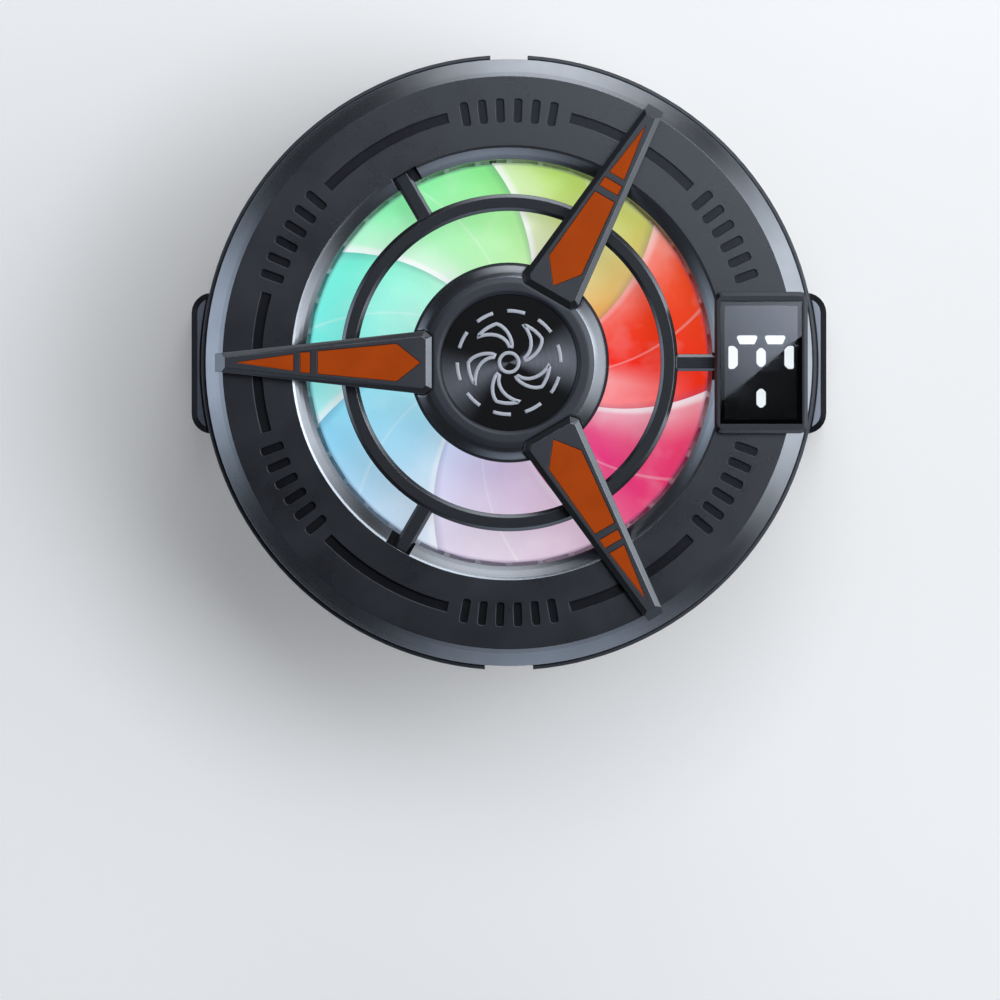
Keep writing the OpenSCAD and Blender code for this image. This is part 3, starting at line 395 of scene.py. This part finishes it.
def sunray_painted_sheen(name, dark, light):
    """Black lacquer over turned metal: fine rings, and two soft lighter fans that are a painted reflection."""
    m = Finish(name, Specular_IOR_Level=0.08)
    turn, reach = m.around(m.place["Object"])
    radial = m.node("ShaderNodeCombineXYZ", {0: reach}).outputs[0]
    rings = m.node("ShaderNodeTexNoise", {"Vector": radial, "Scale": 6000.0, "Detail": 3.0}).outputs["Fac"]
    # The two lighter fans are a painted reflection, set in the base colour
    fans = 0.0
    for middle, spread, strength in ((4, 36, 1.0), (202, 40, 0.7)):
        fan = m.between(m.away(turn, middle), spread / 360, 0.0, to_high=strength, smooth=True)
        fans = m.plus(fans, fan)
    fans = m.times(fans, m.vary(m.noise(240, 3.0), 0.75, 1.1))
    body = m.mix(fans, dark, light)
    m.shade(Base_Color=m.mix(m.vary(rings, 0.0, 0.3, 0.15), body, scaled(dark, 0.5)),
            Roughness=m.vary(rings, 0.28, 0.4))
    return m.material


def window_glass():
    """Smoked clear plastic over the display."""
    m = Finish("window_clear", Transmission_Weight=1.0, IOR=1.49)
    smear = m.noise(220, 4.0, (1, 3, 1))
    m.shade(Base_Color=m.mix(m.vary(smear), (0.82, 0.84, 0.86, 1), (0.88, 0.9, 0.92, 1)),
            Roughness=m.between(smear, 0.35, 0.8, to_high=0.025))
    return m.material


def display_black():
    """The display's dark face, with a trace of light round the figures."""
    m = Finish("display_face", Roughness=0.35, Specular_IOR_Level=0.04, Emission_Strength=1.0)
    off = 0.0
    for axis, low, high in zip("XY", *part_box("display_segments")):
        share = m.math("DIVIDE", m.math("SUBTRACT", m.along(axis), (low + high) / 2), (high - low) * 0.62)
        off = m.plus(off, m.math("POWER", m.math("ABSOLUTE", share), 3.0))
    off = m.math("SQRT", off)
    speck = m.noise(5000, 1.0)
    m.shade(Base_Color=m.mix(speck, (0.002, 0.002, 0.0025, 1), (0.005, 0.005, 0.0055, 1)),
            Emission_Color=m.mix(m.between(off, 0.3, 1.0, smooth=True), (0.003, 0.0035, 0.004, 1), BLACK))
    return m.material


def figures():
    """Lit segments with slightly cooler patches."""
    m = Finish("segments_lit", Base_Color=(0.2, 0.2, 0.2, 1), Roughness=0.5, Emission_Strength=1.0)
    cloud = m.noise(1500, 2.0)
    m.shade(Emission_Color=m.mix(m.vary(cloud), (0.98, 1.0, 1.0, 1), (0.92, 0.97, 1.0, 1)))
    return m.material


def lacquer():
    """Burnt-orange satin lacquer with a fine metallic fleck."""
    m = Finish("inlay_lacquer", Roughness=0.5, Specular_IOR_Level=0.05)
    colour = linear(166, 65, 9)
    fleck = m.noise(9000, 1.0)
    rounded, edge = m.edges(0.1 * MM)
    body = m.mix(m.vary(m.noise(200, 3.0)), scaled(colour, 0.92), scaled(colour, 1.08))
    body = m.mix(m.between(fleck, 0.6, 0.75, to_high=0.2), body, scaled(colour, 1.35))
    m.shade(Base_Color=m.mix(m.times(edge, 0.5), body, scaled(colour, 0.45)),
            Normal=m.bump(fleck, 0.1, 0.01 * MM, rounded))
    return m.material


def tongue_contacts():
    """The inlet's tongue: black plastic with a row of gilt contacts."""
    m = Finish("inlet_contacts")
    pitch = 0.5 * MM
    gilt = m.between(m.math("PINGPONG", m.math("DIVIDE", m.along("X"), pitch), 0.5), 0.26, 0.3)
    m.shade(Base_Color=m.mix(gilt, (0.012, 0.012, 0.013, 1), (0.72, 0.48, 0.18, 1)), Metallic=gilt,
            Roughness=m.vary(m.noise(3000, 2.0), 0.28, 0.42))
    return m.material


def leads():
    """Two sleeved leads, one red and one black, to either side of the middle."""
    m = Finish("lead_sleeves")
    cloud = m.noise(1800, 3.0)
    right = m.between(m.along("X"), -0.01 * MM, 0.01 * MM)
    m.shade(Base_Color=m.mix(right, linear(150, 22, 18), linear(22, 22, 24)),
            Roughness=m.vary(cloud, 0.4, 0.52), Normal=m.bump(cloud, 0.2, 0.01 * MM))
    return m.material


GRAPHITE = linear(34, 35, 40)
TRIM = (0.245, 0.265, 0.295, 1.0)
shell_plastic = moulded("shell_moulded", linear(40, 41, 47), 0.42)
# The lighter level tops of the rim and the jaws are painted highlights
rim_plastic = moulded("rim_moulded", GRAPHITE, 0.42, ledge=linear(60, 63, 72))
jaw_plastic = moulded("jaw_moulded", GRAPHITE, 0.42, ledge=linear(142, 150, 164), ledge_z=JAW_TOP - 0.2 * MM,
                      trim=(0.014, 0.014, 0.017, 1), trim_metal=1.0, trim_rough=0.3)
bezel_plastic = moulded("bezel_moulded", linear(20, 21, 27), 0.29, gloss=0.62, edge_light=6,
                        edge_radius=0.12 * MM, trim=TRIM, sunk=(0.02, 0.021, 0.026, 1))
hub_plastic = moulded("hub_moulded", linear(33, 34, 42), 0.36, edge_light=1.3, edge_radius=0.5 * MM, samples=12,
                      trim=scaled(TRIM, 0.75), trim_from=9.2 * MM, steep=0.72)
trim_plastic = moulded("trim_moulded", linear(31, 32, 38), 0.4, edge_radius=0.12 * MM, trim=scaled(TRIM, 0.5))
frame_plastic = moulded("frame_moulded", linear(27, 28, 35), 0.44, gloss=0.4, edge_radius=0.12 * MM,
                        trim=scaled(TRIM, 0.35))
button_plastic = moulded("button_moulded", linear(74, 77, 86), 0.34, edge_light=1.6)
guard_plastic = moulded("guard_moulded", linear(19, 20, 25), 0.5, gloss=0.35, trim=scaled(TRIM, 0.6))
inner_plastic = moulded("inner_moulded", linear(26, 26, 29), 0.5)
mark_grey = moulded("mark_print", linear(172, 176, 186), 0.4, edge_light=1.1, edge_radius=0.03 * MM)
film = moulded("flex_film", linear(180, 112, 34), 0.3, grain=0.05)
sleeve = moulded("lead_sleeve", linear(150, 152, 156), 0.45, grain=0.1)
steel = metal("steel_plated", linear(178, 180, 184), 0.3)
spring_steel = metal("steel_drawn", linear(168, 170, 174), 0.28, 3500)
extruded = metal("aluminium_extruded", linear(198, 200, 204), 0.32, 1800, (1, 1, 8))
turned = metal("aluminium_turned", linear(202, 204, 208), 0.25, 1200, (1, 1, 6))
bronze = metal("bronze_sintered", linear(186, 148, 90), 0.42, 6000, strength=0.4)
ferrite = metal("magnet_sintered", linear(52, 52, 55), 0.55, 5000, strength=0.4)
lamination = striped("core_laminated", linear(120, 122, 128), 0.4, "Z", 0.35 * MM)
enamel = striped("wire_enamelled", linear(178, 96, 44), 0.3, "Z", 0.18 * MM)
ceramic = soft("ceramic_fired", linear(226, 226, 221), 0.5, 4000, 0.01 * MM, 0.2)
rubber = soft("rubber_ground", linear(26, 26, 28), 0.66, 5200, 0.02 * MM)
silicone = soft("pad_silicone_skin", linear(102, 108, 117), 0.6, 2600, 0.03 * MM)
foam = soft("foam_cells", linear(30, 30, 31), 0.85, 1700, 0.12 * MM, 0.9)
board = circuit("board_masked")
badge_painted_sheen = sunray_painted_sheen("badge_turned", linear(15, 15, 18), linear(112, 117, 127))
diffuser = lit("diffuser_lit", 0.2, 0.25, linear(60, 62, 80))
lamp = lit("lamp_lit", 1.0, 0.7, linear(205, 205, 208))
orange = lacquer()

FINISHES = {
    "thermal_pad": silicone, "cold_plate": turned, "peltier_module": ceramic, "foam_gasket": foam,
    "power_leads": leads(), "heatsink": extruded, "rear_cover": shell_plastic, "rear_shell": shell_plastic,
    "mid_shell": rim_plastic, "front_bezel": bezel_plastic, "fan_guard": guard_plastic, "hub_cap": hub_plastic,
    "hub_badge": badge_painted_sheen, "needle_upper": trim_plastic, "needle_left": trim_plastic,
    "needle_lower": trim_plastic, "inlay_upper": orange, "inlay_left": orange, "inlay_lower": orange,
    "display_frame": frame_plastic, "display_window": window_glass(), "display_module": display_black(),
    "display_segments": figures(), "display_flex": film, "control_board": board, "lamps": lamp,
    "light_ring": diffuser, "inlet_shell": steel, "inlet_tongue": tongue_contacts(), "button_switch": steel,
    "mode_button": button_plastic, "motor_base": inner_plastic, "motor_board": board, "bearing_tube": bronze,
    "stator_core": lamination, "stator_windings": enamel, "fan_lead": sleeve, "impeller": lit_fan(),
    "rotor_yoke": steel, "rotor_magnet": ferrite, "rotor_shaft": steel, "left_jaw": jaw_plastic,
    "right_jaw": jaw_plastic, "left_grip": rubber, "right_grip": rubber, "left_springs": spring_steel,
    "right_springs": spring_steel, "cover_screws": steel, "heatsink_screws": steel, "board_screws": steel,
    "motor_screws": steel}
for name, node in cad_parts.items():
    node.data.materials.clear()
    node.data.materials.append(FINISHES[name])


# Pieces

def add_mesh(name, mesh, material):
    """Puts an object made of a bmesh into the scene."""
    data = bpy.data.meshes.new(name)
    mesh.to_mesh(data)
    mesh.free()
    data.materials.append(material)
    made = bpy.data.objects.new(name, data)
    bpy.context.scene.collection.objects.link(made)
    return made


def piece(name, mesh, body, material, smooth=True):
    """Makes a piece of a bmesh, and sets its body and material."""
    bmesh.ops.recalc_face_normals(mesh, faces=mesh.faces)
    for face in mesh.faces:
        face.smooth = smooth
    made = add_mesh(name, mesh, material)
    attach(made, body)
    return made


def rings_to_faces(mesh, rings, closed):
    """Joins rows of vertices, each a closed ring, into a skin; closed joins the last row to the first."""
    pairs = list(zip(rings, rings[1:])) + ([(rings[-1], rings[0])] if closed else [])
    for one, other in pairs:
        count = len(one)
        for i in range(count):
            j = (i + 1) % count
            mesh.faces.new((one[i], one[j], other[j], other[i]))


def end_caps(mesh, rings):
    """Closes both ends of a skin."""
    mesh.faces.new(rings[0])
    mesh.faces.new(rings[-1])


def polar(radius, degrees):
    """A point in the plane, about the fan's axis."""
    return radius * math.cos(math.radians(degrees)), radius * math.sin(math.radians(degrees))


def stroke(mesh, points, width, low, high, closed):
    """A flat line of a given width along points in the plane, as a solid strip with eased edges."""
    count = len(points)
    ease = min(width * 0.12, (high - low) * 0.5)
    inner = 1 - 2 * ease / width
    profile = [(-1, low), (1, low), (1, high - ease), (inner, high), (-inner, high), (-1, high - ease)]
    rings = []
    for i, (x, y) in enumerate(points):
        before = points[i - 1] if closed or i else points[i]
        after = points[(i + 1) % count] if closed or i < count - 1 else points[i]
        along = Vector((after[0] - before[0], after[1] - before[1])).normalized()
        side = Vector((-along.y, along.x)) * (width / 2)
        rings.append([mesh.verts.new((x + side.x * share, y + side.y * share, z)) for share, z in profile])
    rings_to_faces(mesh, rings, closed)
    if not closed:
        end_caps(mesh, rings)


def badge_mark():
    """A plain fan sign on the badge: five open blades in a broken ring."""
    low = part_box("hub_badge")[1][2]
    high = low + 0.08 * MM
    line = 0.42 * MM
    hub = 1.15 * MM
    root = 1.9 * MM
    tip = 4.8 * MM
    ring = 6.1 * MM
    steps = 10
    shares = [i / steps for i in range(steps + 1)]
    mesh = bmesh.new()
    stroke(mesh, [polar(hub, degrees) for degrees in range(0, 360, 10)], line, low, high, True)
    for blade in range(5):
        turn = blade * 72 + 18
        front = [polar(root + (tip - root) * share, turn + 52 * share ** 1.3) for share in shares]
        end = [polar(tip, turn + 52 - 3.4 * i) for i in range(1, 10)]
        back = [polar(tip - (tip - root) * share, turn + 18 - 30 * share ** 0.8) for share in shares]
        stroke(mesh, front + end + back, line, low, high, True)
    for arc in range(10):
        stroke(mesh, [polar(ring, arc * 36 + 2.5 * i) for i in range(9)], line, low, high, False)
    return piece("badge_mark", mesh, "housing", mark_grey)


def contact_pad():
    """The soft disc that meets the phone: a rounded rim, and a faint crown on the free side."""
    low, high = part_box("thermal_pad")
    radius = high[0]
    thick = high[2] - low[2]
    sides = 96
    profile = [(share * radius, thick * 0.12 * share ** 4) for share in (0.12, 0.3, 0.5, 0.68, 0.82, 0.92, 0.97)]
    profile += [(radius - thick * inset, thick * rise)
                for inset, rise in ((0.2, 0.16), (0.05, 0.3), (0, 0.55), (0.05, 0.85), (0.2, 1))]
    profile += [(share * radius, thick) for share in (0.9, 0.6, 0.3, 0.12)]
    mesh = bmesh.new()
    rings = []
    for r, z in profile:
        rings.append([mesh.verts.new((*polar(r, 360 * i / sides), low[2] + z)) for i in range(sides)])
    rings_to_faces(mesh, rings, False)
    for ring, z in ((rings[0], low[2]), (rings[-1], high[2])):
        middle = mesh.verts.new((0, 0, z))
        for i in range(sides):
            mesh.faces.new((ring[i], ring[(i + 1) % sides], middle))
    made = piece("contact_pad", mesh, "housing", silicone)
    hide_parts("thermal_pad")
    return made


def quarters(x, y, count):
    """A point or direction in the plane, turned by quarter turns."""
    for _ in range(count):
        x, y = -y, x
    return x, y


def foam_seal():
    """The foam frame round the cooling module, with rounded edges and the gap for the leads."""
    low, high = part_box("foam_gasket")
    half = high[0]
    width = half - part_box("peltier_module")[1][0] - 0.05 * MM
    gap = 2.0 * MM
    notch = 1.9 * MM
    inset = 0.18 * MM
    middle = half - width / 2
    reach = width / 2

    # Stations round the frame, each with its place and its way out, from the gap's right end to the gap
    straight = [middle * t / 12 for t in range(-12, 13) if abs(middle * t / 12) < middle - width]
    path = [(x, -middle, 0, -1) for x in [gap] + [x for x in straight if x > gap]]
    for turn in range(4):
        if turn:
            path += [(*quarters(x, -middle, turn), *quarters(0, -1, turn)) for x in straight]
        path.append((*quarters(middle, -middle, turn), *quarters(1, -1, turn)))
    path += [(x, -middle, 0, -1) for x in straight if x < -gap]
    path.append((-gap, -middle, 0, -1))
    dipped = len(path)
    path += [(x, -middle, 0, -1) for x in (-gap, 0, gap)]

    mesh = bmesh.new()
    rings = []
    for i, (x, y, out_x, out_y) in enumerate(path):
        top = high[2] - (notch if i >= dipped else 0)
        ring = []
        for share, z in ((-reach, low[2] + inset), (-reach + inset, low[2]), (reach - inset, low[2]),
                         (reach, low[2] + inset), (reach, top - inset), (reach - inset, top),
                         (-reach + inset, top), (-reach, top - inset)):
            ring.append(mesh.verts.new((x + out_x * share, y + out_y * share, z)))
        rings.append(ring)
    rings_to_faces(mesh, rings, True)
    bmesh.ops.remove_doubles(mesh, verts=mesh.verts, dist=1e-7)
    made = piece("foam_seal", mesh, "housing", foam, smooth=False)
    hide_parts("foam_gasket")
    return made


def jaw_coils(side, sign):
    """A jaw's two coil springs, with closed ends, drawn at rest; the real springs shorten against the pocket's end
    as the jaw slides out.
    """
    low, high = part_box(side + "_springs")
    near, far = sorted(abs(x) for x in (low[0], high[0]))
    wire = 0.32 * MM
    wire_sides = 8
    radius = (high[2] - low[2] - wire) / 2
    middle_z = (high[2] + low[2]) / 2
    turns = 8.5
    closed_turns = 0.9
    closed = closed_turns * wire * 1.05
    steps = 24
    along_x = Vector((1, 0, 0))
    mesh = bmesh.new()
    for middle_y in (high[1] - radius - wire / 2, low[1] + radius + wire / 2):
        rings = []
        for i in range(int(turns * steps) + 1):
            turn = i / steps
            open_share = (turn - closed_turns) / (turns - 2 * closed_turns)
            if open_share < 0:
                along = near + wire / 2 + closed * turn / closed_turns
            elif open_share > 1:
                along = far - wire / 2 - closed * (turns - turn) / closed_turns
            else:
                along = near + wire / 2 + closed + (far - near - wire - 2 * closed) * open_share
            angle = 2 * math.pi * turn
            out = Vector((0, math.cos(angle), math.sin(angle)))
            centre = Vector((sign * along, middle_y, middle_z)) + radius * out
            ring = []
            for j in range(wire_sides):
                bend = 2 * math.pi * j / wire_sides
                ring.append(mesh.verts.new(centre + wire / 2 * (math.cos(bend) * out + math.sin(bend) * along_x)))
            rings.append(ring)
        rings_to_faces(mesh, rings, False)
        end_caps(mesh, rings)
    made = piece(side + "_coils", mesh, "housing", spring_steel)
    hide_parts(side + "_springs")
    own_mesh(made)
    return made


badge_mark()
contact_pad()
foam_seal()
jaw_coils("left", -1)
jaw_coils("right", 1)


# Floor, light and camera

# The soft boxes on the room's walls: direction of the middle, half width at full light and at none, and height of
# the top edge, in degrees; radiance; colour
Box = namedtuple("Box", "middle full none top radiance colour")
BOXES = [
    Box(4.5, 13, 44, 62, 2.2, (0.96, 0.98, 1.0)), Box(82.5, 4, 33, 33, 2.1, (1.0, 1.0, 1.0)),
    Box(177, 5, 34, 33, 1.65, (0.79, 0.88, 1.0)), Box(277, 3, 39, 33, 0.83, (0.8, 0.88, 1.0))]


def pale_floor():
    """A wide pale floor under the lowest point; far off it grows lighter, so that no horizon shows."""
    m = Finish("floor_pale", Specular_IOR_Level=0.2, Emission_Color=WHITE)
    cloud = m.noise(6, 4.0)
    rays = m.node("ShaderNodeLightPath").outputs
    seen = m.math("MAXIMUM", rays["Is Camera Ray"],
                  m.math("MAXIMUM", rays["Is Glossy Ray"], rays["Is Transmission Ray"]))
    _, reach = m.around(m.place["Object"])
    glow = m.between(reach, 0.2, 1.3, 0.18, 0.62, smooth=True)
    m.shade(Base_Color=m.mix(m.vary(cloud), (0.80, 0.80, 0.805, 1), (0.82, 0.82, 0.825, 1)),
            Roughness=m.vary(cloud, 0.75, 0.85), Emission_Strength=m.times(seen, glow))
    mesh = bmesh.new()
    bmesh.ops.create_grid(mesh, x_segments=4, y_segments=4, size=80.0)
    floor = add_mesh("floor", mesh, m.material)
    floor.location.z = FLOOR_Z


def room():
    """A dim room with four feathered soft boxes on its walls; the one on the right reaches higher."""
    world = bpy.data.worlds.new("room")
    bpy.context.scene.world = world
    m = Tree(world)
    turn, _ = m.around(m.place["Generated"])
    height = m.parts(m.place["Generated"])["Z"]
    light = (0.035, 0.036, 0.04, 1)
    for box in BOXES:
        across = m.between(m.away(turn, box.middle), box.none / 360, box.full / 360, smooth=True)
        up = m.between(height, *(math.sin(math.radians(box.top + feather)) for feather in (6, -2)), smooth=True)
        light = m.mix(m.times(across, up), light, scaled(box.colour, box.radiance, limit=10), "ADD")
    m.put(m.tree.nodes["Background"], {"Color": light, "Strength": 1.0})


def softbox(name, place, width, height, radiance, colour, turn, far=1.0):
    """A rectangular lamp of a given radiance that faces down; far is the share of light at its far end."""
    data = bpy.data.lights.new(name, "AREA")
    data.shape = "RECTANGLE"
    data.size = width
    data.size_y = height
    data.energy = radiance * math.pi * width * height
    data.color = colour
    m = Tree(data)
    along = m.parts(m.geometry["Parametric"])["X"]
    m.put(m.tree.nodes["Emission"], {"Strength": m.between(along, 0.0, 1.0, 1.0, far)})
    made = bpy.data.objects.new(name, data)
    made.location = place
    made.rotation_euler.z = math.radians(turn)
    bpy.context.scene.collection.objects.link(made)


def studio():
    """The room, a soft box above the upper right of the face, and a card that the display's window mirrors."""
    room()
    softbox("box_over", place=(0.094, 0.094, 0.32), width=0.30, height=0.20, radiance=3.7,
            colour=(0.93, 0.97, 1.0), turn=-45)
    softbox("card_display", place=(0.0414, 0.0143, 2.0), width=0.030, height=0.016, radiance=5.2,
            colour=(0.76, 0.84, 1.0), turn=219.5, far=0.03)


def photo_camera():
    """Straight above the face, so far off that the walls don't show."""
    distance = 4.0
    frame_width = 117.9 * MM
    middle = (-1.06 * MM, -16.2 * MM)
    data = bpy.data.cameras.new("camera")
    data.sensor_width = 36
    data.lens = data.sensor_width * distance / frame_width
    data.clip_start = 0.1
    data.clip_end = 200
    camera = bpy.data.objects.new("camera", data)
    camera.location = (*middle, FACE_Z + distance)
    bpy.context.scene.collection.objects.link(camera)
    bpy.context.scene.camera = camera


pale_floor()
studio()
photo_camera()
bpy.context.scene.view_settings.view_transform = "Standard"
